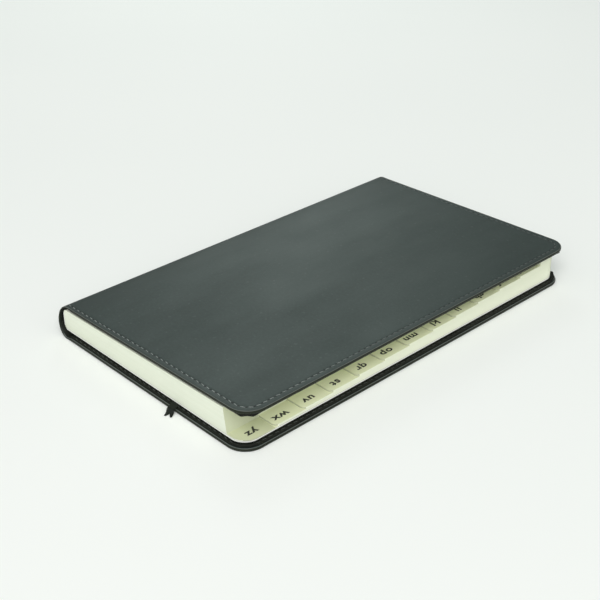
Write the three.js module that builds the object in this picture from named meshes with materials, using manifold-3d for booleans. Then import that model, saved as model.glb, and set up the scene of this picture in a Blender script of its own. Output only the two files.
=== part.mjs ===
// Address book with a thumb index, closed and lying on its back cover.
// Millimetres. X runs from the spine to the fore-edge, Y from the tail to the head and Z up.
// The origin is the middle of the back cover's resting face.

import * as THREE from "three";
import { mergeVertices } from "three/addons/utils/BufferGeometryUtils.js";
import Module from "manifold-3d";

const wasm = await Module();
wasm.setup();

// The closed book
const bookLength = 210;
const coverWidth = 132;
const spineThickness = 16;
const foreEdgeThickness = 18.8;

// How far the soft front cover has slipped towards the head
const frontSlip = 2;

// Cover layers, from the outside in, with the film of glue between them
const leatherThickness = 0.7;
const boardThickness = 0.8;
const liningThickness = 0.4;
const endpaperThickness = 0.2;
const glueLine = 0.05;

// Cover outline and edge
const coverCornerRadius = 10;
const edgeRound = 0.6;
const boardInset = 5.2;
const boardCornerRadius = 6;
const boardHingeInset = 4;
const pocketClearance = 0.3;
const liningInset = 0.55;
const liningPleats = 3;
const endpaperTrim = 0.8;

// Pressed channel that the seam lies in
const seamInset = 3.6;
const seamWidth = 0.9;
const seamDepth = 0.2;

// Spine and hinges
const spineDepth = 7;
const hingeDistance = 8.2;
const hingeGap = 0.3;
const hollowGap = 1.2;
const backingThickness = 0.4;

// Leaves
const tailSquare = 2.6;
const foreSquare = 3;
const leafClearance = 0.4;
const blockCornerRadius = 7.5;
const blockSpineRadius = 2;

// Thumb index
const tabCount = 13;
const tabDepth = 10.2;
const tabRake = THREE.MathUtils.degToRad(8.6);
const firstTabLength = 15.3;
const lastTabLength = 17;
const frontLeavesThickness = 2.4;
const lastSectionThickness = 1.1;
const tabCornerRadius = 2.2;

// Ribbon marker
const ribbonWidth = 3.6;
const ribbonThickness = 0.2;
const ribbonExitX = 87;
const ribbonAnchorX = 9;
const ribbonReach = 4.2;
const ribbonEdgeClearance = 0.3;
const ribbonNotch = 1.6;

// Segments on a quarter of a large corner, a spine arc and a small round
const cornerSegments = 14;
const spineSegments = 40;
const smallSegments = 6;
const roundSegments = 4;
const ribbonSteps = 12;
const cutMargin = 1;
const weldDistance = 1e-5;

// Depths below the outer face of a cover, and what follows from the sizes above
const boardDepth = leatherThickness + glueLine;
const liningDepth = boardDepth + boardThickness + glueLine;
const coverThickness = liningDepth + liningThickness;
const endpaperDepth = coverThickness + glueLine;
const blockDepth = endpaperDepth + endpaperThickness + leafClearance;
const rimThickness = leatherThickness + glueLine + boardThickness;
const coverReach = coverWidth - hingeDistance;
const coverRise = Math.asin((foreEdgeThickness - spineThickness) / coverReach);

const spineLiningDepth = leatherThickness + glueLine;
const spineWall = spineLiningDepth + liningThickness;
const backingX = spineWall + hollowGap;
const blockSpineX = backingX + backingThickness + glueLine;
const blockForeX = coverWidth - foreSquare;
const blockTail = tailSquare;
const blockHead = bookLength - tailSquare;
const blockBottom = blockDepth;

// Height of the leaves' top face, which lies along the rising front cover
function blockTop(x) {
  return spineThickness + (x - hingeDistance) * Math.tan(coverRise) - blockDepth / Math.cos(coverRise);
}

const leather = { color: 0x2b332f, roughness: 0.48, metalness: 0 };
const lining = { color: 0x1d211f, roughness: 0.6, metalness: 0 };
const card = { color: 0x8d8474, roughness: 0.9, metalness: 0 };
const paper = { color: 0xdfe3cb, roughness: 0.85, metalness: 0 };
const endpaper = { color: 0xe6e7d8, roughness: 0.8, metalness: 0 };
const mull = { color: 0xd6d6cf, roughness: 0.95, metalness: 0 };
const ribbon = { color: 0x0e1010, roughness: 0.5, metalness: 0 };

function part(name, geometry, finish) {
  const mesh = new THREE.Mesh(geometry, new THREE.MeshStandardMaterial(finish));
  mesh.name = name;
  return mesh;
}

// Closed geometry to a solid that can be joined and cut
function solidOf(geometry) {
  const bare = geometry.clone();
  bare.deleteAttribute("normal");
  bare.deleteAttribute("uv");
  const merged = mergeVertices(bare, weldDistance);
  const vertProperties = new Float32Array(merged.attributes.position.array);
  const triVerts = new Uint32Array(merged.index.array);
  return new wasm.Manifold(new wasm.Mesh({ numProp: 3, vertProperties, triVerts }));
}

function geometryOf(solid) {
  const mesh = solid.getMesh();
  const geometry = new THREE.BufferGeometry();
  geometry.setAttribute("position", new THREE.BufferAttribute(new Float32Array(mesh.vertProperties), 3));
  geometry.setIndex(new THREE.BufferAttribute(new Uint32Array(mesh.triVerts), 1));
  return geometry;
}

function cut(geometry, ...tools) {
  const body = tools.reduce((rest, tool) => rest.subtract(solidOf(tool)), solidOf(geometry));
  return geometryOf(body);
}

// A plan outline in XY raised between two heights
function slab(shape, low, high, segments = cornerSegments) {
  const options = { depth: high - low, bevelEnabled: false, curveSegments: segments };
  return new THREE.ExtrudeGeometry(shape, options).translate(0, 0, low);
}

// The same with its edges rounded all the way around
function roundedSlab(shape, low, high, round) {
  const options = {
    depth: high - low - 2 * round,
    bevelThickness: round,
    bevelSize: round,
    bevelOffset: -round,
    bevelSegments: roundSegments,
    curveSegments: cornerSegments,
  };
  return new THREE.ExtrudeGeometry(shape, options).translate(0, 0, low + round);
}

// A profile in XZ drawn out along Y
function bar(shape, tail, head, segments = cornerSegments) {
  const options = { depth: head - tail, bevelEnabled: false, curveSegments: segments };
  return new THREE.ExtrudeGeometry(shape, options).rotateX(Math.PI / 2).translate(0, head, 0);
}

function box(x0, x1, y0, y1, z0, z1) {
  const geometry = new THREE.BoxGeometry(x1 - x0, y1 - y0, z1 - z0);
  return geometry.translate((x0 + x1) / 2, (y0 + y1) / 2, (z0 + z1) / 2);
}

// Square at the hinge side, round at the two corners of the fore-edge
function sheetOutline(x0, x1, y0, y1, radius) {
  const shape = new THREE.Shape();
  shape.moveTo(x0, y0);
  shape.lineTo(x1 - radius, y0);
  shape.absarc(x1 - radius, y0 + radius, radius, -Math.PI / 2, 0, false);
  shape.lineTo(x1, y1 - radius);
  shape.absarc(x1 - radius, y1 - radius, radius, 0, Math.PI / 2, false);
  shape.lineTo(x0, y1);
  shape.closePath();
  return shape;
}

// Cover outline in the cover's own frame, where x is measured from the hinge line
function coverOutline(x0, inset) {
  return sheetOutline(x0, coverReach - inset, inset, bookLength - inset, coverCornerRadius - inset);
}

// The seam's channel: a band between two outlines that runs off the hinge side
function seamBand(low, high) {
  const outer = coverOutline(-cutMargin, seamInset - seamWidth / 2);
  outer.holes.push(coverOutline(-cutMargin / 2, seamInset + seamWidth / 2));
  return slab(outer, low, high);
}

// One cover in its own frame: the hinge line is x = 0 and its outer face is z = 0.
// inward is 1 when the leaves lie above the cover and -1 when they lie below it, and slip is
// how far the cover has slipped towards the head over the leaves.
function coverParts(side, inward, slip) {
  const between = (depth, thickness) => {
    const ends = [inward * depth, inward * (depth + thickness)];
    return [Math.min(...ends), Math.max(...ends)];
  };
  const reach = coverThickness + cutMargin;
  const hingeSide = box(-coverReach, hingeGap / 2, -cutMargin, bookLength + cutMargin, -reach, reach);

  // Leather turned in at the rim, with the board's pocket open to the inside
  const rim = roundedSlab(coverOutline(-2 * cutMargin, 0), ...between(0, rimThickness), edgeRound);
  const pocket = sheetOutline(
    boardHingeInset - pocketClearance,
    coverReach - boardInset + pocketClearance,
    boardInset - pocketClearance,
    bookLength - boardInset + pocketClearance,
    boardCornerRadius + pocketClearance,
  );
  const pocketCut = slab(pocket, ...between(leatherThickness, rimThickness));
  const seamCut = seamBand(...between(-cutMargin, cutMargin + seamDepth));
  const skin = cut(rim, hingeSide, pocketCut, seamCut);

  const boardShape = sheetOutline(
    boardHingeInset,
    coverReach - boardInset,
    boardInset,
    bookLength - boardInset,
    boardCornerRadius,
  );
  const board = slab(boardShape, ...between(boardDepth, boardThickness));

  // The lining's corners are folded in flat pleats
  const liningShape = coverOutline(hingeGap / 2, liningInset);
  const inner = slab(liningShape, ...between(liningDepth, liningThickness), liningPleats);

  // The endpaper is trimmed a little inside the leaves
  const endpaperShape = sheetOutline(
    hingeGap + endpaperTrim,
    blockForeX - hingeDistance - endpaperTrim,
    blockTail + endpaperTrim - slip,
    blockHead - endpaperTrim - slip,
    blockCornerRadius - endpaperTrim,
  );
  const sheet = slab(endpaperShape, ...between(endpaperDepth, endpaperThickness));

  const cover = new THREE.Group();
  cover.add(part(`${side}_cover`, skin, leather));
  cover.add(part(`${side}_board`, board, card));
  cover.add(part(`${side}_lining`, inner, lining));
  cover.add(part(`${side}_endpaper`, sheet, endpaper));
  return cover;
}

// Half-oval wall of the spine between two depths below its outer face, open towards the leaves
function spineWallShape(depth, thickness) {
  const end = hingeDistance - hingeGap / 2;
  const middle = spineThickness / 2;
  const outerX = spineDepth - depth;
  const outerZ = middle - depth;
  const innerX = outerX - thickness;
  const innerZ = outerZ - thickness;
  const shape = new THREE.Shape();
  shape.moveTo(end, middle + outerZ);
  shape.lineTo(spineDepth, middle + outerZ);
  shape.absellipse(spineDepth, middle, outerX, outerZ, Math.PI / 2, (3 * Math.PI) / 2, false);
  shape.lineTo(end, middle - outerZ);
  shape.lineTo(end, middle - innerZ);
  shape.lineTo(spineDepth, middle - innerZ);
  shape.absellipse(spineDepth, middle, innerX, innerZ, (3 * Math.PI) / 2, Math.PI / 2, true);
  shape.lineTo(end, middle + innerZ);
  shape.closePath();
  return shape;
}

// The spine leans towards the head with the slipped front cover
function spineParts() {
  const lean = new THREE.Matrix4().makeShear(0, 0, 0, 0, 0, frontSlip / spineThickness);
  const outer = bar(spineWallShape(0, leatherThickness), 0, bookLength, spineSegments);
  const innerShape = spineWallShape(spineLiningDepth, liningThickness);
  const inner = bar(innerShape, liningInset, bookLength - liningInset, spineSegments);
  outer.applyMatrix4(lean);
  inner.applyMatrix4(lean);
  const backing = box(
    backingX,
    backingX + backingThickness,
    blockTail,
    blockHead,
    blockBottom + blockSpineRadius,
    blockTop(blockSpineX) - blockSpineRadius,
  );
  const spine = new THREE.Group();
  spine.add(part("spine_cover", outer, leather));
  spine.add(part("spine_lining", inner, lining));
  spine.add(part("spine_backing", backing, mull));
  return spine;
}

// End profile of the leaves: rounded over at the spine, rising towards the fore-edge
function leavesProfile() {
  const roundX = blockSpineX + blockSpineRadius;
  const roundTopZ = blockTop(roundX) - blockSpineRadius;
  const shape = new THREE.Shape();
  shape.moveTo(blockForeX, blockBottom);
  shape.lineTo(blockForeX, blockTop(blockForeX));
  shape.lineTo(roundX, blockTop(roundX));
  shape.absarc(roundX, roundTopZ, blockSpineRadius, Math.PI / 2, Math.PI, false);
  shape.lineTo(blockSpineX, blockBottom + blockSpineRadius);
  shape.absarc(roundX, blockBottom + blockSpineRadius, blockSpineRadius, Math.PI, 1.5 * Math.PI, false);
  shape.closePath();
  return shape;
}

// Where tab number k ends towards the tail, and the height of the leaves left below it
const tabPitch = (blockHead - blockTail - firstTabLength - lastTabLength) / (tabCount - 2);
const indexTop = blockTop(blockForeX) - frontLeavesThickness;
const sectionThickness = (indexTop - blockBottom - lastSectionThickness) / (tabCount - 1);
const tabEnd = (k) => blockHead - firstTabLength - (k - 1) * tabPitch;
const tabHeight = (k) => indexTop - k * sectionThickness;

// Everything above the tab's height is cut away from the tail up to its end, on a raked line,
// and the corner that is left on the leaves above is rounded
function tabCuts(k) {
  const low = tabHeight(k);
  const high = blockTop(blockForeX) + cutMargin;
  const wallX = (z) => blockForeX - tabDepth - (z - blockBottom - lastSectionThickness) * Math.tan(tabRake);
  const notch = new THREE.Shape();
  notch.moveTo(wallX(low), low);
  notch.lineTo(blockForeX + cutMargin, low);
  notch.lineTo(blockForeX + cutMargin, high);
  notch.lineTo(wallX(high), high);
  notch.closePath();

  const end = tabEnd(k);
  const arcX = blockForeX - tabCornerRadius;
  const corner = new THREE.Shape();
  corner.moveTo(arcX, end);
  corner.absarc(arcX, end + tabCornerRadius, tabCornerRadius, -Math.PI / 2, 0, false);
  corner.lineTo(blockForeX + cutMargin, end + tabCornerRadius);
  corner.lineTo(blockForeX + cutMargin, end - cutMargin);
  corner.lineTo(arcX, end - cutMargin);
  corner.closePath();
  return [bar(notch, blockTail - cutMargin, end), slab(corner, low, high, smallSegments)];
}

function pageBlock() {
  const body = bar(leavesProfile(), blockTail, blockHead, smallSegments);
  const plan = sheetOutline(blockSpineX - cutMargin, blockForeX, blockTail, blockHead, blockCornerRadius);
  const column = slab(plan, blockBottom - cutMargin, blockTop(blockForeX) + cutMargin);
  const uncut = geometryOf(solidOf(body).intersect(solidOf(column)));
  const cuts = Array.from({ length: tabCount - 1 }, (_, i) => tabCuts(i + 1)).flat();
  return part("page_block", cut(uncut, ...cuts), paper);
}

// Flat between the leaves and the back cover, then over the cover's edge and down to the table.
// It is drawn from its side, with u running towards its free end, and slants across the book
// from the head of the spine to the tail.
function ribbonMarker() {
  const slant = Math.atan2(ribbonExitX - ribbonAnchorX, blockHead);
  const hidden = blockHead / Math.cos(slant) - ribbonWidth;
  const flatZ = blockBottom - (leafClearance - ribbonThickness) / 2 - ribbonThickness / 2;
  const restZ = ribbonThickness;
  const overEdge = ribbonEdgeClearance + (ribbonWidth / 2) * Math.tan(slant);
  const endU = ribbonReach / Math.cos(slant);
  const bend = (endU - overEdge) / 2;
  const drop = new THREE.CubicBezierCurve(
    new THREE.Vector2(overEdge, flatZ),
    new THREE.Vector2(overEdge + bend, flatZ),
    new THREE.Vector2(overEdge + bend / 2, restZ),
    new THREE.Vector2(endU, restZ),
  );
  const side = (sign) =>
    Array.from({ length: ribbonSteps + 1 }, (_, i) => {
      const t = i / ribbonSteps;
      const tangent = drop.getTangent(t);
      const normal = new THREE.Vector2(-tangent.y, tangent.x);
      return drop.getPoint(t).addScaledVector(normal, (sign * ribbonThickness) / 2);
    });
  const shape = new THREE.Shape([
    new THREE.Vector2(-hidden, flatZ - ribbonThickness / 2),
    ...side(-1),
    ...side(1).reverse(),
    new THREE.Vector2(-hidden, flatZ + ribbonThickness / 2),
  ]);
  const strip = new THREE.ExtrudeGeometry(shape, { depth: ribbonWidth, bevelEnabled: false });
  strip.rotateX(Math.PI / 2).rotateZ(-Math.PI / 2).translate(ribbonWidth / 2, 0, 0);

  const notch = new THREE.Shape();
  notch.moveTo(0, -endU + ribbonNotch);
  notch.lineTo(-ribbonWidth / 2, -endU - cutMargin);
  notch.lineTo(ribbonWidth / 2, -endU - cutMargin);
  notch.closePath();
  const tool = slab(notch, -cutMargin, flatZ);

  const mesh = part("ribbon_marker", cut(strip, tool), ribbon);
  mesh.position.x = ribbonExitX;
  mesh.rotation.z = slant;
  return mesh;
}

const book = new THREE.Group();
book.position.set(-coverWidth / 2, -bookLength / 2, 0);

const frontCover = coverParts("front", -1, frontSlip);
frontCover.position.set(hingeDistance, frontSlip, spineThickness);
frontCover.rotation.y = -coverRise;

const backCover = coverParts("back", 1, 0);
backCover.position.x = hingeDistance;

book.add(frontCover, backCover, spineParts(), pageBlock(), ribbonMarker());

export default book;
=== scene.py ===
import math
import random

import bmesh
import bpy
from mathutils import Matrix, Vector

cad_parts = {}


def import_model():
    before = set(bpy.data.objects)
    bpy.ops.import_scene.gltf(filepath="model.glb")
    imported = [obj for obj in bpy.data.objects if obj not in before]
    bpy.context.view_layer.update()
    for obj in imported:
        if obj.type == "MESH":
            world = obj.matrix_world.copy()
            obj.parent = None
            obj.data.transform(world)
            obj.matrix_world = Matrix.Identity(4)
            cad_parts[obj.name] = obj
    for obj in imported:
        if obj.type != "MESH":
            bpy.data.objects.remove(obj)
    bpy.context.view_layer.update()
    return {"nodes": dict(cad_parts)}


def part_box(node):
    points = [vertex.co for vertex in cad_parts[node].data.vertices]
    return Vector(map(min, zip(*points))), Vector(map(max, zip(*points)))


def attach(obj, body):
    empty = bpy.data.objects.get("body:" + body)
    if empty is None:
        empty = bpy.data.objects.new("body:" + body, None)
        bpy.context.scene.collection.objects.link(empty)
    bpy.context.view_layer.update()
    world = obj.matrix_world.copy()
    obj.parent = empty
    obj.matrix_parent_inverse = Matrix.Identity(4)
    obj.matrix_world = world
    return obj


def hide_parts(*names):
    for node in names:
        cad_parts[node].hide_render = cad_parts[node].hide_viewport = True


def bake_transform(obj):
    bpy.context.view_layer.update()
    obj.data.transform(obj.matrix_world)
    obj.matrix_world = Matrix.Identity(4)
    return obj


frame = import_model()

random.seed(13)

MM = 0.001

# Book, in millimetres, as in the solids
COVER_WIDTH = 132.0
BOOK_LENGTH = 210.0
SPINE_THICKNESS = 16.0
SPINE_DEPTH = 7.0
HINGE_DISTANCE = 8.2
HINGE_X = HINGE_DISTANCE - COVER_WIDTH / 2
COVER_REACH = COVER_WIDTH - HINGE_DISTANCE
COVER_RISE = math.asin(2.8 / COVER_REACH)
FRONT_SLIP = 2.0
CORNER = 10.0
RIM_DEPTH = 1.55
LEATHER = 0.7
LINING = 0.4
GLUE = 0.05
SEAM_INSET = 3.0
SEAM_DEPTH = 0.09
INNER_SEAM_INSET = 2.0
SEAM_DRIFT = 0.9
DRIFT_REACH = 70.0
STITCH_PITCH = 3.4
CORNER_GATHER = 1.2
PLEAT_DEPTH = 0.12

# Leaves, in millimetres
BLOCK_TAIL = 2.6
BLOCK_FORE = 63.0
BLOCK_BOTTOM = 2.65
LAST_SECTION = 1.1
TAB_COUNT = 13
FIRST_TAB = 15.3
LAST_TAB = 17.0
TAB_PITCH = (BOOK_LENGTH - 2 * BLOCK_TAIL - FIRST_TAB - LAST_TAB) / (TAB_COUNT - 2)
BLOCK_TOP = (SPINE_THICKNESS + (BLOCK_FORE - HINGE_X) * math.tan(COVER_RISE)
             - BLOCK_BOTTOM / math.cos(COVER_RISE))
INDEX_TOP = BLOCK_TOP - 2.4
SECTION = (INDEX_TOP - BLOCK_BOTTOM - LAST_SECTION) / (TAB_COUNT - 1)


# Materials

def material(name):
    mat = bpy.data.materials.new(name)
    mat.use_nodes = True
    tree = mat.node_tree
    return mat, tree, tree.nodes["Principled BSDF"]


def math_node(tree, operation, a, b=None):
    made = tree.nodes.new("ShaderNodeMath")
    made.operation = operation
    for place, value in enumerate((a, b)):
        if value is None:
            continue
        if isinstance(value, (int, float)):
            made.inputs[place].default_value = value
        else:
            tree.links.new(value, made.inputs[place])
    return made.outputs[0]


def product(tree, *values):
    made = values[0]
    for value in values[1:]:
        made = math_node(tree, "MULTIPLY", made, value)
    return made


def parts(tree, vector):
    """The x, y and z of a vector."""
    made = tree.nodes.new("ShaderNodeSeparateXYZ")
    tree.links.new(vector, made.inputs[0])
    return tuple(made.outputs)


def stretched(tree, source, scale):
    made = tree.nodes.new("ShaderNodeMapping")
    made.inputs["Scale"].default_value = scale
    tree.links.new(source, made.inputs["Vector"])
    return made.outputs["Vector"]


def noise(tree, vector, scale, detail=4.0, roughness=0.55):
    made = tree.nodes.new("ShaderNodeTexNoise")
    made.inputs["Scale"].default_value = scale
    made.inputs["Detail"].default_value = detail
    made.inputs["Roughness"].default_value = roughness
    tree.links.new(vector, made.inputs["Vector"])
    return made.outputs["Fac"]


def ramp(tree, source, *stops):
    made = tree.nodes.new("ShaderNodeValToRGB")
    line = made.color_ramp
    while len(line.elements) < len(stops):
        line.elements.new(0.5)
    for element, (position, colour) in zip(line.elements, stops):
        element.position = position
        element.color = (*colour, 1.0) if isinstance(colour, tuple) else (colour,) * 3 + (1.0,)
    tree.links.new(source, made.inputs["Fac"])
    return made.outputs["Color"]


def mixed(tree, factor, a, b):
    made = tree.nodes.new("ShaderNodeMix")
    made.data_type = "RGBA"
    for place, value in ((0, factor), (6, a), (7, b)):
        if isinstance(value, (int, float)):
            made.inputs[place].default_value = value
        elif isinstance(value, tuple):
            made.inputs[place].default_value = (*value, 1.0)
        else:
            tree.links.new(value, made.inputs[place])
    return made.outputs[2]


def bump(tree, height, distance, strength=1.0, before=None):
    made = tree.nodes.new("ShaderNodeBump")
    made.inputs["Distance"].default_value = distance
    made.inputs["Strength"].default_value = strength
    tree.links.new(height, made.inputs["Height"])
    if before is not None:
        tree.links.new(before, made.inputs["Normal"])
    return made.outputs["Normal"]


def coordinates(tree, kind="Object"):
    return tree.nodes.new("ShaderNodeTexCoord").outputs[kind]


def geometry(tree, kind):
    return tree.nodes.new("ShaderNodeNewGeometry").outputs[kind]


def uv_layer(tree, name):
    made = tree.nodes.new("ShaderNodeUVMap")
    made.uv_map = name
    return made.outputs["UV"]


LEATHER_DARK = (0.012, 0.022, 0.019)
LEATHER_LIGHT = (0.034, 0.051, 0.046)
SPECK_TONE = (0.10, 0.12, 0.112)
# Painted light: shade in the needle holes, beside the rim, on the spine's shoulder and on the edge's
# upright part, and a highlight along the edge's top
HOLE_SHADE_TONE = (0.006, 0.008, 0.007)
RIM_SHADE_TONE = (0.012, 0.021, 0.016)
SHOULDER_SHADE_TONE = (0.012, 0.020, 0.017)
UPRIGHT_SHADE_TONE = (0.018, 0.022, 0.015)
CREST_HIGHLIGHT_TONE = (0.21, 0.23, 0.215)


def leather_material():
    mat, tree, shader = material("leatherette")
    sheet = uv_layer(tree, "sheet")
    clouds = noise(tree, stretched(tree, sheet, (1.0, 0.55, 1.0)), 9.0, 6.0, 0.6)
    streaks = noise(tree, stretched(tree, sheet, (1.0, 0.16, 1.0)), 60.0, 5.0, 0.6)
    grain = noise(tree, sheet, 700.0, 3.0, 0.6)
    specks = noise(tree, sheet, 520.0, 1.0, 0.4)
    tone = ramp(tree, clouds, (0.37, LEATHER_DARK), (0.66, LEATHER_LIGHT))
    tone = mixed(tree, 0.45, tone, ramp(tree, streaks, (0.36, LEATHER_DARK), (0.64, LEATHER_LIGHT)))
    tone = mixed(tree, 0.35, tone, ramp(tree, grain, (0.38, LEATHER_DARK), (0.62, LEATHER_LIGHT)))
    tone = mixed(tree, ramp(tree, specks, (0.68, 0.0), (0.74, 0.22)), tone, SPECK_TONE)

    # The seam map runs in stitches along the seam and in millimetres across it
    along_seam, across_seam, _ = parts(tree, uv_layer(tree, "seam"))
    inset = math_node(tree, "ADD", across_seam, SEAM_INSET)
    level = math_node(tree, "ABSOLUTE", parts(tree, geometry(tree, "Normal"))[2])

    # Painted shade: darker beside the rim and on the spine's shoulder
    rim = ramp(tree, product(tree, inset, 0.4), (0.14, 0.75), (0.74, 0.0))
    tone = mixed(tree, rim, tone, RIM_SHADE_TONE)
    shoulder = ramp(tree, product(tree, parts(tree, sheet)[0], 50.0), (0.0, 0.45), (0.7, 0.0))
    tone = mixed(tree, shoulder, tone, SHOULDER_SHADE_TONE)

    # The turned edge is dull on its upright part and painted dark there as shade, with a painted highlight
    # along its rounded top
    edge = ramp(tree, inset, (0.3, 1.0), (0.6, 0.0))
    upright = product(tree, edge, ramp(tree, level, (0.80, 1.0), (0.95, 0.0)))
    tone = mixed(tree, upright, tone, UPRIGHT_SHADE_TONE)
    painted_crest_highlight = ramp(tree, level, (0.80, 0.0), (0.88, 0.7), (0.97, 0.7), (1.0, 0.0))
    tone = mixed(tree, product(tree, edge, painted_crest_highlight), tone, CREST_HIGHLIGHT_TONE)
    shine = ramp(tree, upright, (0.0, 0.5), (1.0, 0.12))
    tree.links.new(shine, shader.inputs["Specular IOR Level"])

    # Needle holes, half a stitch from each stitch's middle, darkened with painted shade
    to_hole = product(tree, math_node(tree, "PINGPONG", along_seam, 0.5), STITCH_PITCH)
    reach = math_node(tree, "ADD", product(tree, to_hole, to_hole), product(tree, across_seam, across_seam))
    reach = math_node(tree, "SQRT", reach)
    tone = mixed(tree, ramp(tree, reach, (0.26, 1.0), (0.62, 0.0)), tone, HOLE_SHADE_TONE)
    tree.links.new(tone, shader.inputs["Base Color"])

    rough = ramp(tree, clouds, (0.36, 0.52), (0.64, 0.37))
    rough = mixed(tree, ramp(tree, grain, (0.3, 0.0), (0.7, 0.25)), rough, (0.6, 0.6, 0.6))
    rough = mixed(tree, edge, rough, (0.30, 0.30, 0.30))
    tree.links.new(rough, shader.inputs["Roughness"])
    shader.inputs["IOR"].default_value = 1.5
    normal = bump(tree, grain, 0.00003, 0.5)
    normal = bump(tree, streaks, 0.00008, 0.35, normal)
    normal = bump(tree, clouds, 0.0012, 0.3, normal)
    normal = bump(tree, ramp(tree, reach, (0.2, 0.0), (0.55, 1.0)), 0.0003, 0.9, normal)
    tree.links.new(normal, shader.inputs["Normal"])
    return mat


def lining_material():
    mat, tree, shader = material("lining")
    place = coordinates(tree)
    grain = noise(tree, place, 900.0, 4.0, 0.6)
    clouds = noise(tree, place, 30.0, 4.0, 0.6)
    tone = ramp(tree, clouds, (0.3, (0.005, 0.006, 0.004)), (0.7, (0.011, 0.013, 0.010)))
    tree.links.new(tone, shader.inputs["Base Color"])
    tree.links.new(ramp(tree, grain, (0.3, 0.48), (0.7, 0.64)), shader.inputs["Roughness"])
    shader.inputs["Specular IOR Level"].default_value = 0.15
    tree.links.new(bump(tree, grain, 0.00005, 0.6), shader.inputs["Normal"])
    return mat


def paper_material(name, low, high, fibre=0.00002):
    mat, tree, shader = material(name)
    place = coordinates(tree)
    fibres = noise(tree, place, 1500.0, 4.0, 0.7)
    clouds = noise(tree, place, 45.0, 4.0, 0.6)
    tone = ramp(tree, clouds, (0.3, low), (0.7, high))
    tone = mixed(tree, ramp(tree, fibres, (0.35, 0.10), (0.65, 0.0)), tone, tuple(v * 0.85 for v in low))
    tree.links.new(tone, shader.inputs["Base Color"])
    shader.inputs["Roughness"].default_value = 0.85
    shader.inputs["Specular IOR Level"].default_value = 0.25
    tree.links.new(bump(tree, fibres, fibre, 0.5), shader.inputs["Normal"])
    return mat


# Limits of the leaves' tones, in metres
STEPS_FROM_X = 0.0525
FIRST_LEAF_X = 0.0515
FIRST_LEAF_Z = 0.0145
LAST_WALL_X = 0.0505
LAST_TAB_Y = -0.0855
LAST_TAB_Z = 0.0155
TAIL_END_Y = -0.1005
FACES_TAIL = -0.4


def leaves_material():
    mat, tree, shader = material("leaves")
    place = coordinates(tree)
    x, y, z = parts(tree, place)
    normal_x, normal_y, normal_z = parts(tree, geometry(tree, "True Normal"))
    centimetres_up = product(tree, z, 100.0)

    leaf = noise(tree, stretched(tree, place, (9.0, 9.0, 900.0)), 8.0, 2.0, 0.5)
    bands = noise(tree, stretched(tree, place, (3.0, 3.0, 170.0)), 5.0, 3.0, 0.6)
    edge = ramp(tree, bands, (0.3, (0.72, 0.76, 0.63)), (0.7, (0.76, 0.80, 0.68)))
    edge = mixed(tree, ramp(tree, leaf, (0.35, 0.10), (0.55, 0.0)), edge, (0.64, 0.67, 0.52))

    # The fore-edge is yellower than the ends, and painted paler toward the back cover, as painted light
    # that lifts the shade there
    fore = ramp(tree, normal_x, (0.2, 0.0), (0.6, 0.7))
    edge = mixed(tree, fore, edge, (0.74, 0.77, 0.59))
    painted_lower_light = ramp(tree, centimetres_up, (0.3, 0.9), (1.0, 0.0))
    edge = mixed(tree, product(tree, painted_lower_light, fore), edge, (0.90, 0.93, 0.76))

    # The step at the end of each tab lies in shade
    toward_tail = math_node(tree, "LESS_THAN", normal_y, FACES_TAIL)
    in_index = math_node(tree, "GREATER_THAN", x, STEPS_FROM_X)
    off_tail = math_node(tree, "GREATER_THAN", y, TAIL_END_Y)
    step = product(tree, toward_tail, in_index, off_tail)
    edge = mixed(tree, product(tree, step, 0.8), edge, (0.40, 0.42, 0.28))

    # The last section is whiter, with a thin line of painted shade above it where the sections part
    white = ramp(tree, centimetres_up, (0.325, 1.0), (0.335, 0.0))
    edge = mixed(tree, white, edge, (0.87, 0.88, 0.83))
    painted_gap_shade = ramp(tree, centimetres_up, (0.322, 0.0), (0.330, 1.0), (0.342, 1.0), (0.350, 0.0))
    edge = mixed(tree, product(tree, painted_gap_shade, 0.55), edge, (0.30, 0.31, 0.25))

    face = noise(tree, place, 60.0, 4.0, 0.6)
    face = ramp(tree, face, (0.3, (0.73, 0.76, 0.51)), (0.7, (0.77, 0.80, 0.56)))

    # The first leaf, above the index, is as pale as the endpaper
    inside = math_node(tree, "LESS_THAN", x, FIRST_LEAF_X)
    above = math_node(tree, "GREATER_THAN", z, FIRST_LEAF_Z)
    face = mixed(tree, math_node(tree, "MAXIMUM", inside, above), face, (0.79, 0.81, 0.70))
    tone = mixed(tree, math_node(tree, "GREATER_THAN", normal_z, 0.7), edge, face)

    # The last tab and the wall behind it lie in the cover's shade
    shaded = product(
        tree,
        math_node(tree, "LESS_THAN", y, LAST_TAB_Y),
        math_node(tree, "GREATER_THAN", normal_y, FACES_TAIL),
        math_node(tree, "GREATER_THAN", x, LAST_WALL_X),
        math_node(tree, "LESS_THAN", z, LAST_TAB_Z),
        math_node(tree, "SUBTRACT", 1.0, white))
    tone = mixed(tree, product(tree, shaded, 0.6), tone, (0.42, 0.45, 0.28))
    tree.links.new(tone, shader.inputs["Base Color"])
    shader.inputs["Roughness"].default_value = 0.8
    shader.inputs["Specular IOR Level"].default_value = 0.25
    tree.links.new(bump(tree, leaf, 0.00004, 0.2), shader.inputs["Normal"])
    return mat


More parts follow.
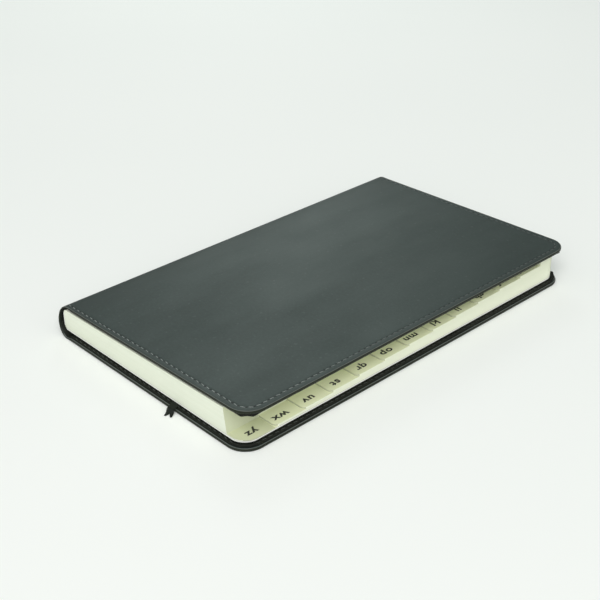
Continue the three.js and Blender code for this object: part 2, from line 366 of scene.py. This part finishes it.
def cloth_material(name, low, high, pitch):
    mat, tree, shader = material(name)
    place = coordinates(tree)
    weave = tree.nodes.new("ShaderNodeTexWave")
    weave.wave_type = "BANDS"
    weave.bands_direction = "DIAGONAL"
    weave.inputs["Scale"].default_value = pitch
    weave.inputs["Distortion"].default_value = 0.6
    tree.links.new(place, weave.inputs["Vector"])
    fibres = noise(tree, place, 1800.0, 3.0, 0.7)
    tone = ramp(tree, weave.outputs["Fac"], (0.2, low), (0.8, high))
    tone = mixed(tree, ramp(tree, fibres, (0.35, 0.3), (0.65, 0.0)), tone, low)
    tree.links.new(tone, shader.inputs["Base Color"])
    shader.inputs["Roughness"].default_value = 0.6
    shader.inputs["Specular IOR Level"].default_value = 0.25
    tree.links.new(bump(tree, weave.outputs["Fac"], 0.00006, 0.7), shader.inputs["Normal"])
    return mat


def thread_material(name, low, high):
    mat, tree, shader = material(name)
    place = coordinates(tree)
    twist = tree.nodes.new("ShaderNodeTexWave")
    twist.bands_direction = "DIAGONAL"
    twist.inputs["Scale"].default_value = 900.0
    tree.links.new(place, twist.inputs["Vector"])
    tone = ramp(tree, twist.outputs["Fac"], (0.2, low), (0.8, high))

    # Painted shade: the thread is darker toward the head
    from_tail = math_node(tree, "ADD", parts(tree, place)[1], 0.1)
    painted_head_shade = ramp(tree, product(tree, from_tail, 10.0), (0.1, 0.0), (1.0, 0.75))
    tone = mixed(tree, painted_head_shade, tone, tuple(0.35 * v for v in low))
    tree.links.new(tone, shader.inputs["Base Color"])
    shader.inputs["Roughness"].default_value = 0.38
    tree.links.new(bump(tree, twist.outputs["Fac"], 0.00004, 0.6), shader.inputs["Normal"])
    return mat


def ink_material():
    mat, tree, shader = material("ink")
    grain = noise(tree, coordinates(tree), 2500.0, 3.0, 0.6)
    tone = ramp(tree, grain, (0.3, (0.012, 0.013, 0.009)), (0.7, (0.03, 0.032, 0.024)))
    tree.links.new(tone, shader.inputs["Base Color"])
    tree.links.new(ramp(tree, grain, (0.3, 0.5), (0.7, 0.75)), shader.inputs["Roughness"])
    return mat


leather = leather_material()
lining = lining_material()
thread = thread_material("thread", (0.16, 0.18, 0.17), (0.38, 0.41, 0.39))
inner_thread = thread_material("inner_thread", (0.025, 0.029, 0.026), (0.075, 0.085, 0.078))
ink = ink_material()
leaves = leaves_material()
endpaper = paper_material("endpaper", (0.77, 0.79, 0.68), (0.81, 0.83, 0.72))
board = paper_material("board", (0.26, 0.23, 0.17), (0.33, 0.29, 0.22), 0.00006)
backing = cloth_material("backing_cloth", (0.60, 0.60, 0.58), (0.78, 0.78, 0.76), 900.0)
ribbon = cloth_material("ribbon_textile", (0.002, 0.004, 0.002), (0.007, 0.010, 0.007), 1100.0)


# Places on the two covers: t runs from the spine (negative) over the hinge (0) to the fore-edge,
# y from tail to head, and depth from the outer face inwards. All in millimetres.

def eased(x, low, high):
    x = min(1.0, max(0.0, (x - low) / (high - low)))
    return x * x * (3 - 2 * x)


# Length of flat cover between the hinge and the spine's curve, and half the curve's height
FLAT = HINGE_DISTANCE - SPINE_DEPTH
HALF = SPINE_THICKNESS / 2
SPINE_STEPS = 26


def spine_angles():
    """Angles from the top of the spine's half ellipse to its middle, with a fine last step."""
    angles = [math.pi / 2 * k / SPINE_STEPS for k in range(SPINE_STEPS)]
    return angles + [math.pi / 2 - 0.004, math.pi / 2]


def spine_lengths():
    made, last = [], None
    length = 0.0
    for angle in spine_angles():
        here = Vector((SPINE_DEPTH * math.sin(angle), HALF * math.cos(angle)))
        if last is not None:
            length += (here - last).length
        made.append(length)
        last = here
    return made


SPINE_T = [-FLAT - length for length in spine_lengths()]
SPINE_ANGLE = list(zip(SPINE_T, spine_angles()))


def spine_angle(t):
    """Angle on the spine's half ellipse, from its top, at a place t."""
    for (t0, a0), (t1, a1) in zip(SPINE_ANGLE, SPINE_ANGLE[1:]):
        if t1 <= t <= t0:
            return a0 + (a1 - a0) * (t0 - t) / (t0 - t1)
    return math.pi / 2


def spot(side, t, y, depth):
    """World place, in metres, of a point of the front (side 1) or back (side -1) cover."""
    if t <= -FLAT:
        angle = spine_angle(t)
        x = HINGE_X - FLAT - SPINE_DEPTH * math.sin(angle)
        z = HALF + HALF * math.cos(angle)
        normal = Vector((math.sin(angle) / SPINE_DEPTH, math.cos(angle) / HALF)).normalized()
        x, z = x + normal.x * depth, z - normal.y * depth
    else:
        rise = COVER_RISE if side > 0 and t > 0 else 0.0
        x = HINGE_X + t * math.cos(rise) + depth * math.sin(rise)
        z = SPINE_THICKNESS + t * math.sin(rise) - depth * math.cos(rise)
    if side < 0:
        z = SPINE_THICKNESS - z
    slip = FRONT_SLIP * min(1.0, z / SPINE_THICKNESS) if t < 0 else FRONT_SLIP * (side > 0)
    return Vector((x, y + slip - BOOK_LENGTH / 2, z)) * MM


HINGE_END = 5.5
HINGE_T = ([-FLAT + 0.3 * k for k in range(1, 4)]
           + [0.0, 0.35, 0.7, 1.05, 1.4, 1.8, 2.3, 3.0, 4.0, HINGE_END])
FIELD_STEPS = 27
COVER_T = [HINGE_END + (COVER_REACH - CORNER - HINGE_END) * k / FIELD_STEPS
           for k in range(1, FIELD_STEPS + 1)]
FIELD_T = SPINE_T[::-1] + HINGE_T + COVER_T
Y_STEPS = 46
FIELD_Y = [CORNER + (BOOK_LENGTH - 2 * CORNER) * k / Y_STEPS for k in range(Y_STEPS + 1)]
CORNER_STEPS = 18


def drawn_in(inset, t):
    """Inset from the tail or head edge: the seam runs nearer the edge toward the spine."""
    share = min(eased(inset, 0.9, 2.9), 1 - eased(inset, 4.6, 10.0))
    return inset - SEAM_DRIFT * share * (1 - eased(t, 0.0, DRIFT_REACH))


class Sheet:
    """A closed sheet with a shaped rim round tail, fore-edge and head, and its cut end in the spine."""

    def __init__(self, side, profile, radius=None, swell=None):
        self.side = side
        self.profile = profile
        self.radius = radius or (lambda angle, inset: CORNER - inset)
        self.swell = swell or (lambda t, y, inset, depth: 0.0)
        self.bm = bmesh.new()
        self.sheet = self.bm.loops.layers.uv.new("sheet")
        self.seam = self.bm.loops.layers.uv.new("seam")
        self.marks = {}

    def vert(self, t, y, depth, flat_t, flat_y, along, across):
        made = self.bm.verts.new(spot(self.side, t, y, depth))
        self.marks[made] = ((flat_t * MM, flat_y * MM), (along, across))
        return made

    def grid(self, rows, flip):
        for low, high in zip(rows, rows[1:]):
            for a, b, c, d in zip(low, low[1:], high[1:], high):
                corners = (a, b, c, d) if not flip else (d, c, b, a)
                face = self.bm.faces.new(corners)
                face.smooth = True
                for loop in face.loops:
                    loop[self.sheet].uv, loop[self.seam].uv = self.marks[loop.vert]

    def stations(self):
        """Yields (t and y at an inset, seam position) for each place round the rim."""
        tail = COVER_REACH - CORNER
        arc = (CORNER - SEAM_INSET) * math.pi / 2
        side = BOOK_LENGTH - 2 * CORNER
        for t in FIELD_T:
            yield (lambda i, t=t: (t, drawn_in(i, t))), t
        for k in range(1, CORNER_STEPS):
            angle = math.pi / 2 * k / CORNER_STEPS
            yield (lambda i, a=angle: (
                tail + self.radius(a, i) * math.sin(a),
                CORNER - self.radius(a, i) * math.cos(a))), tail + arc * k / CORNER_STEPS
        for y in FIELD_Y:
            yield (lambda i, y=y: (COVER_REACH - i, y)), tail + arc + y - CORNER
        for k in range(1, CORNER_STEPS):
            angle = math.pi / 2 * k / CORNER_STEPS
            yield (lambda i, a=angle: (
                tail + self.radius(math.pi / 2 - a, i) * math.cos(a),
                BOOK_LENGTH - CORNER + self.radius(math.pi / 2 - a, i) * math.sin(a))), (
                tail + arc + side + arc * k / CORNER_STEPS)
        for t in FIELD_T[::-1]:
            yield (lambda i, t=t: (t, BOOK_LENGTH - drawn_in(i, t))), 2 * tail + 2 * arc + side - t

    def build(self):
        rows = []
        for place, along in self.stations():
            row = []
            for inset, depth, run in self.profile:
                t, y = place(inset)
                flat_t, flat_y = place(run)
                row.append(self.vert(
                    t, y, depth(t) + self.swell(t, y, inset, depth(t)), flat_t, flat_y,
                    along / STITCH_PITCH, inset - SEAM_INSET))
            rows.append(row)
        self.grid(rows, self.side < 0)
        for end, up in ((0, True), (-1, False)):
            depth = self.profile[end][1]
            field = [[self.vert(t, y, depth(t), t, y, 0.5, 9.0) for y in FIELD_Y] for t in FIELD_T]
            self.grid(field, (self.side > 0) != up)
        return self

    def finish(self, name, mat):
        bmesh.ops.remove_doubles(self.bm, verts=self.bm.verts, dist=2e-6)
        open_edges = [e for e in self.bm.edges if e.is_boundary]
        bmesh.ops.holes_fill(self.bm, edges=open_edges, sides=0)
        bmesh.ops.recalc_face_normals(self.bm, faces=self.bm.faces)
        mesh = bpy.data.meshes.new(name)
        self.bm.to_mesh(mesh)
        self.bm.free()
        mesh.materials.append(mat)
        made = bpy.data.objects.new(name, mesh)
        bpy.context.scene.collection.objects.link(made)
        mesh.set_sharp_from_angle(angle=math.radians(48))
        return made


def groove(t):
    """Share of the seam's groove, which fades out on the spine."""
    return eased(t, -1.5, 1.5)


def rim_depth(t):
    """Depth of the leatherette's turned-in rim: thin at the spine, thicker where the board starts."""
    return LEATHER + (RIM_DEPTH - LEATHER) * eased(t, -1.4, 3.0)


def leather_profile():
    """(inset, depth, flat inset) from the middle of the outer face round the rim to the inner face."""
    made = []

    def outer(inset, dip):
        made.append((inset, lambda t: dip * groove(t), inset))

    def rim(inset, share, run):
        made.append((inset, lambda t: share * rim_depth(t), run))

    for inset, dip in ((10.0, 0.0), (8.0, 0.0), (6.0, 0.0), (4.4, 0.005), (4.0, 0.015),
                       (3.65, 0.04), (3.35, 0.075), (SEAM_INSET, SEAM_DEPTH), (2.65, 0.075), (2.35, 0.045),
                       (2.0, 0.025), (1.6, 0.02), (1.2, 0.02), (0.9, 0.02)):
        outer(inset, dip)
    for inset, share, run in ((0.6, 0.016, 0.6), (0.42, 0.032, 0.4), (0.28, 0.06, 0.25), (0.16, 0.11, 0.1),
                              (0.07, 0.19, -0.1), (0.01, 0.32, -0.3), (0.0, 0.55, -0.6),
                              (0.04, 0.78, -0.9), (0.14, 0.90, -1.1), (0.34, 0.98, -1.3), (0.7, 1.0, -1.7),
                              (2.5, 1.0, -3.4), (4.9, 1.0, -5.8)):
        rim(inset, share, run)
    for inset, run in ((5.2, -6.6), (7.5, -8.9), (10.0, -11.4)):
        made.append((inset, lambda t: LEATHER + 0.02, run))
    return made


def lining_profile():
    """(inset, depth, flat inset) from the lining's inner face round its cut edge to its glued face."""
    made = []
    for inset, share in ((10.0, 1.0), (6.0, 1.0), (3.0, 1.0), (2.2, 1.0), (1.6, 1.0), (1.1, 1.0),
                         (0.68, 0.88), (0.57, 0.68), (0.55, 0.45), (0.62, 0.2), (0.8, 0.04), (1.1, 0.0),
                         (3.0, 0.0), (6.0, 0.0), (10.0, 0.0)):
        made.append((inset, lambda t, share=share: rim_depth(t) + GLUE + LINING * share, inset))
    return made


def pleated(angle, inset):
    """Corner radius of the lining, which turns the corner in three flat pleats near its edge."""
    third = math.pi / 6
    local = (angle % third) - third / 2
    facet = math.cos(third / 2) / math.cos(local)
    share = eased(inset, 0.5, 5.0)
    return (CORNER - inset) * (facet + (1 - facet) * share)


def gathered(t, y, inset, depth):
    """How much thicker the lining is where it gathers at the corners' edge."""
    out_t, out_y = t - (COVER_REACH - CORNER), abs(y - BOOK_LENGTH / 2) - (BOOK_LENGTH / 2 - CORNER)
    if out_t <= 0 or out_y <= 0 or depth < RIM_DEPTH + GLUE + LINING / 2:
        return 0.0
    angle = math.atan2(out_y, out_t)
    fold = 1 - PLEAT_DEPTH + PLEAT_DEPTH * math.cos(12 * angle)
    round_corner = eased(math.sin(2 * angle), 0.0, 0.8)
    return CORNER_GATHER * fold * round_corner * (1 - eased(inset, 1.0, 2.2))


def hinged(piece):
    """Bakes a piece's placement into its mesh."""
    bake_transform(piece)
    return piece


front_leather = Sheet(1, leather_profile()).build().finish("front_leather", leather)
back_leather = Sheet(-1, leather_profile()).build().finish("back_leather", leather)
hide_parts("front_cover", "spine_cover")
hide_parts("back_cover")
front_inside = Sheet(1, lining_profile(), pleated, gathered).build().finish("front_inside", lining)
back_inside = Sheet(-1, lining_profile(), pleated, gathered).build().finish("back_inside", lining)
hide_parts("front_lining", "spine_lining")
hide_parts("back_lining")
for piece, side, name in ((front_leather, 1, "leatherette"), (back_leather, -1, "leatherette"),
                          (front_inside, 1, "lining"), (back_inside, -1, "lining")):
    hinged(piece)


# Stitches

def seam_path(side, depth, inset):
    """A function giving places along the seam, lifted off the face by a given depth, and the seam's length.
    """
    tail = COVER_REACH - CORNER
    radius = CORNER - inset
    arc = (CORNER - SEAM_INSET) * math.pi / 2
    length = BOOK_LENGTH - 2 * CORNER
    total = 2 * tail + 2 * arc + length

    def place(s, lift=0.0):
        if s < tail:
            t, y = s, drawn_in(inset, s)
        elif s < tail + arc:
            a = (s - tail) / arc * math.pi / 2
            t, y = tail + radius * math.sin(a), CORNER - radius * math.cos(a)
        elif s < tail + arc + length:
            t, y = COVER_REACH - inset, CORNER + s - tail - arc
        elif s < tail + 2 * arc + length:
            a = (s - tail - arc - length) / arc * math.pi / 2
            t, y = tail + radius * math.cos(a), BOOK_LENGTH - CORNER + radius * math.sin(a)
        else:
            t = tail - (s - tail - 2 * arc - length)
            y = BOOK_LENGTH - drawn_in(inset, t)
        return spot(side, t, y, depth(t) - lift)

    return place, total


THREAD_SIDES = 8
THREAD_STEPS = 8
THREAD_FLATNESS = 0.85
END_TAPER = 0.35

# A stitch covers this part of its pitch, slants by this much and arches over the leatherette
STITCH_FROM = 0.17
STITCH_TO = 0.83
STITCH_SLANT = 0.34
SLANT_SPREAD = 0.08
ARCH_POWER = 0.6
ARCH_SINK = 0.6
STITCH_RADIUS = 0.14
INNER_STITCH_RADIUS = 0.15
RESTING_SINK = 0.06


def add_stitch(bm, points, up, radius):
    """A short rounded length of thread through the given places."""
    rings = []
    last = len(points) - 1
    for k, point in enumerate(points):
        ahead = (points[min(k + 1, last)] - points[max(k - 1, 0)]).normalized()
        across = ahead.cross(up).normalized()
        lift = across.cross(ahead)
        share = math.sin(math.pi * (k + END_TAPER) / (last + 2 * END_TAPER)) ** END_TAPER
        wide = radius * MM * share
        rings.append([
            bm.verts.new(point + across * wide * math.cos(a) + lift * wide * THREAD_FLATNESS * math.sin(a))
            for a in (2 * math.pi * j / THREAD_SIDES for j in range(THREAD_SIDES))])
    for low, high in zip(rings, rings[1:]):
        for j in range(THREAD_SIDES):
            i = (j + 1) % THREAD_SIDES
            bm.faces.new((low[j], low[i], high[i], high[j])).smooth = True
    bm.faces.new(rings[0][::-1])
    bm.faces.new(rings[-1])


def stitches(name, side, depth, inset, sign, radius, mat):
    """One seam's thread on a cover's outer (sign 1) or inner (sign -1) face.

    The outer seam runs on to the spine's shoulder, the inner one stops a stitch before the hinge.
    """
    place, total = seam_path(side, depth, inset)
    bm = bmesh.new()
    first = -1 if sign > 0 else 1
    for k in range(first, int(total / STITCH_PITCH) - first):
        start, end = (k + STITCH_FROM) * STITCH_PITCH, (k + STITCH_TO) * STITCH_PITCH
        slip = random.uniform(-SLANT_SPREAD, SLANT_SPREAD)
        points = []
        for j in range(THREAD_STEPS + 1):
            share = j / THREAD_STEPS
            s = start + (end - start) * share
            point = place(s)
            up = (place(s, sign * 0.1) - point).normalized()
            nudge = (share - 0.5) * (STITCH_SLANT + slip) * MM
            ahead = (place(s + 0.1) - place(s - 0.1)).normalized()
            arch = radius * (math.sin(math.pi * share) ** ARCH_POWER - ARCH_SINK)
            points.append(point + up * arch * MM + ahead.cross(up) * nudge)
        add_stitch(bm, points, up, radius)
    bmesh.ops.recalc_face_normals(bm, faces=bm.faces)
    mesh = bpy.data.meshes.new(name)
    bm.to_mesh(mesh)
    bm.free()
    mesh.materials.append(mat)
    made = bpy.data.objects.new(name, mesh)
    bpy.context.scene.collection.objects.link(made)
    return hinged(made)


def outer_seam(t):
    """Depth of the front cover's outer seam."""
    return SEAM_DEPTH * groove(t)


def resting_seam(t):
    """Depth of the back cover's outer seam, sunk so that the thread stays off the resting plane."""
    return outer_seam(t) + RESTING_SINK


def inner_seam(t):
    """Depth of the seam on a cover's inner face, on the lining."""
    return rim_depth(t) + GLUE + LINING


for side, cover in ((1, "front"), (-1, "back")):
    stitches(f"{cover}_seam", side, outer_seam if side > 0 else resting_seam,
             SEAM_INSET, 1, STITCH_RADIUS, thread)
    stitches(f"{cover}_inner_seam", side, inner_seam,
             INNER_SEAM_INSET, -1, INNER_STITCH_RADIUS, inner_thread)


# Leaves, endpapers and the pieces that keep their solid

def dress(name, mat):
    solid = bpy.data.objects[name] if name in bpy.data.objects else frame["nodes"][name]
    solid.data.materials.clear()
    solid.data.materials.append(mat)


for name, mat in (("page_block", leaves), ("front_endpaper", endpaper), ("back_endpaper", endpaper),
                  ("front_board", board), ("back_board", board), ("spine_backing", backing),
                  ("ribbon_marker", ribbon)):
    dress(name, mat)


# Tab letters, printed on the leaves

LETTER_SIZE = 6.2
LETTER_SQUASH = 0.8
LETTER_SPACING = 1.12
LETTER_WEIGHT = 0.2
LETTER_INSET = 4.2
LETTER_TAILWARD = 1.0
LETTER_NUDGE = 0.5
PRINT_HEIGHT = 0.02


def tab_letters(k):
    """Two letters on tab k, counted from 0 at the head."""
    pair = "abcdefghijklmnopqrstuvwxyz"[2 * k:2 * k + 2]
    curve = bpy.data.curves.new(f"tab_{pair}", "FONT")
    curve.body = pair
    curve.size = LETTER_SIZE * MM
    curve.align_x = "CENTER"
    curve.align_y = "CENTER"
    curve.space_character = LETTER_SPACING
    curve.extrude = PRINT_HEIGHT / 2 * MM
    curve.offset = LETTER_WEIGHT * MM
    text = bpy.data.objects.new(f"text_{pair}", curve)
    bpy.context.scene.collection.objects.link(text)
    bpy.context.view_layer.update()
    mesh = bpy.data.meshes.new_from_object(text)
    mesh.name = f"tab_{pair}"
    bpy.data.objects.remove(text)
    head = BOOK_LENGTH - BLOCK_TAIL - (FIRST_TAB + (k - 1) * TAB_PITCH if k else 0)
    tail = max(BOOK_LENGTH - BLOCK_TAIL - FIRST_TAB - k * TAB_PITCH, BLOCK_TAIL)
    z = INDEX_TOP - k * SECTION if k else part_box("page_block")[1].z / MM
    nudge = LETTER_NUDGE if k < TAB_COUNT - 1 else 0.0
    x = BLOCK_FORE - LETTER_INSET + nudge
    y = (head + tail) / 2 - LETTER_TAILWARD - nudge - BOOK_LENGTH / 2
    place = Matrix.Translation(Vector((x, y, z + PRINT_HEIGHT / 2)) * MM)
    turn = Matrix.Rotation(-math.pi / 2, 4, "Z")
    mesh.transform(place @ turn @ Matrix.Diagonal((1, LETTER_SQUASH, 1, 1)))
    mesh.materials.clear()
    mesh.materials.append(ink)
    made = bpy.data.objects.new(f"tab_{pair}", mesh)
    bpy.context.scene.collection.objects.link(made)
    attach(made, "book_block")
    return made


for k in range(TAB_COUNT):
    tab_letters(k)


# Floor, light and camera

FLOOR_REACH = 1.7
FLOOR_DROP = 0.00003


def floor():
    mesh = bpy.data.meshes.new("floor")
    corners = [(x * FLOOR_REACH, y * FLOOR_REACH, 0) for x, y in ((-1, -1), (1, -1), (1, 1), (-1, 1))]
    mesh.from_pydata(corners, [], [(0, 1, 2, 3)])
    made = bpy.data.objects.new("floor", mesh)
    made.location.z = -FLOOR_DROP
    bpy.context.scene.collection.objects.link(made)
    mat, tree, shader = material("floor")
    clouds = noise(tree, coordinates(tree), 3.0, 2.0, 0.5)
    tone = ramp(tree, clouds, (0.3, (0.880, 0.905, 0.880)), (0.7, (0.900, 0.920, 0.895)))
    tree.links.new(tone, shader.inputs["Base Color"])
    shader.inputs["Roughness"].default_value = 0.9
    shader.inputs["Specular IOR Level"].default_value = 0.1
    mesh.materials.append(mat)


def lamp(name, place, aim, size, power, tint):
    light = bpy.data.lights.new(name, "AREA")
    light.shape = "RECTANGLE"
    light.size, light.size_y = size
    light.energy = power
    light.color = tint
    made = bpy.data.objects.new(name, light)
    made.location = place
    made.rotation_mode = "QUATERNION"
    made.rotation_quaternion = (Vector(aim) - Vector(place)).to_track_quat("-Z", "Y")
    bpy.context.scene.collection.objects.link(made)


def world():
    """Grey surroundings, lighter toward the camera's side, that look white to the camera itself."""
    made = bpy.data.worlds.new("studio")
    made.use_nodes = True
    tree = made.node_tree
    toward = tree.nodes.new("ShaderNodeVectorMath")
    toward.operation = "DOT_PRODUCT"
    toward.inputs[1].default_value = (0.735, -0.678, 0.0)
    tree.links.new(coordinates(tree, "Generated"), toward.inputs[0])
    share = product(tree, math_node(tree, "ADD", toward.outputs["Value"], 1.0), 0.5)
    tone = ramp(tree, share, (0.0, (0.20, 0.21, 0.205)), (0.5, (0.43, 0.44, 0.435)),
                (1.0, (0.66, 0.67, 0.66)))
    seen = tree.nodes.new("ShaderNodeLightPath").outputs["Is Camera Ray"]
    tone = mixed(tree, seen, tone, (0.86, 0.885, 0.86))
    tree.links.new(tone, tree.nodes["Background"].inputs["Color"])
    bpy.context.scene.world = made


SENSOR = 36.0
PICTURE_PIXELS = 600


def camera():
    """The camera solved from the photo: angles in radians, lengths in millimetres, focal in pixels."""
    azimuth, elevation, roll = 0.825198, 0.51741, -0.012749
    distance, right_shift, up_shift, focal = 560.6895, -9.5374, 2.6950, 1164.397
    back = Vector((math.sin(azimuth) * math.cos(elevation), -math.cos(azimuth) * math.cos(elevation),
                   math.sin(elevation)))
    right = Vector((math.cos(azimuth), math.sin(azimuth), 0))
    up = back.cross(right)
    level, tilt = math.cos(roll), math.sin(roll)
    right, up = right * level + up * tilt, up * level - right * tilt
    data = bpy.data.cameras.new("camera")
    data.sensor_width = SENSOR
    data.lens = focal / PICTURE_PIXELS * SENSOR
    data.clip_start, data.clip_end = 0.01, 20.0
    made = bpy.data.objects.new("camera", data)
    turn = Matrix((right, up, back)).transposed()
    place = (back * distance + right * right_shift + up * up_shift) * MM
    made.matrix_world = Matrix.Translation(place) @ turn.to_4x4()
    bpy.context.scene.collection.objects.link(made)
    bpy.context.scene.camera = made


floor()
lamp("key", (1.36, -1.46, 2.0), (0, 0.1, 0), (2.2, 2.2), 67.0, (1.0, 1.0, 0.99))
lamp("sheen", (-0.66, 0.51, 0.49), (0, 0, 0), (0.34, 0.26), 0.88, (0.88, 1.0, 0.96))
world()
camera()
bpy.context.scene.view_settings.view_transform = "Standard"
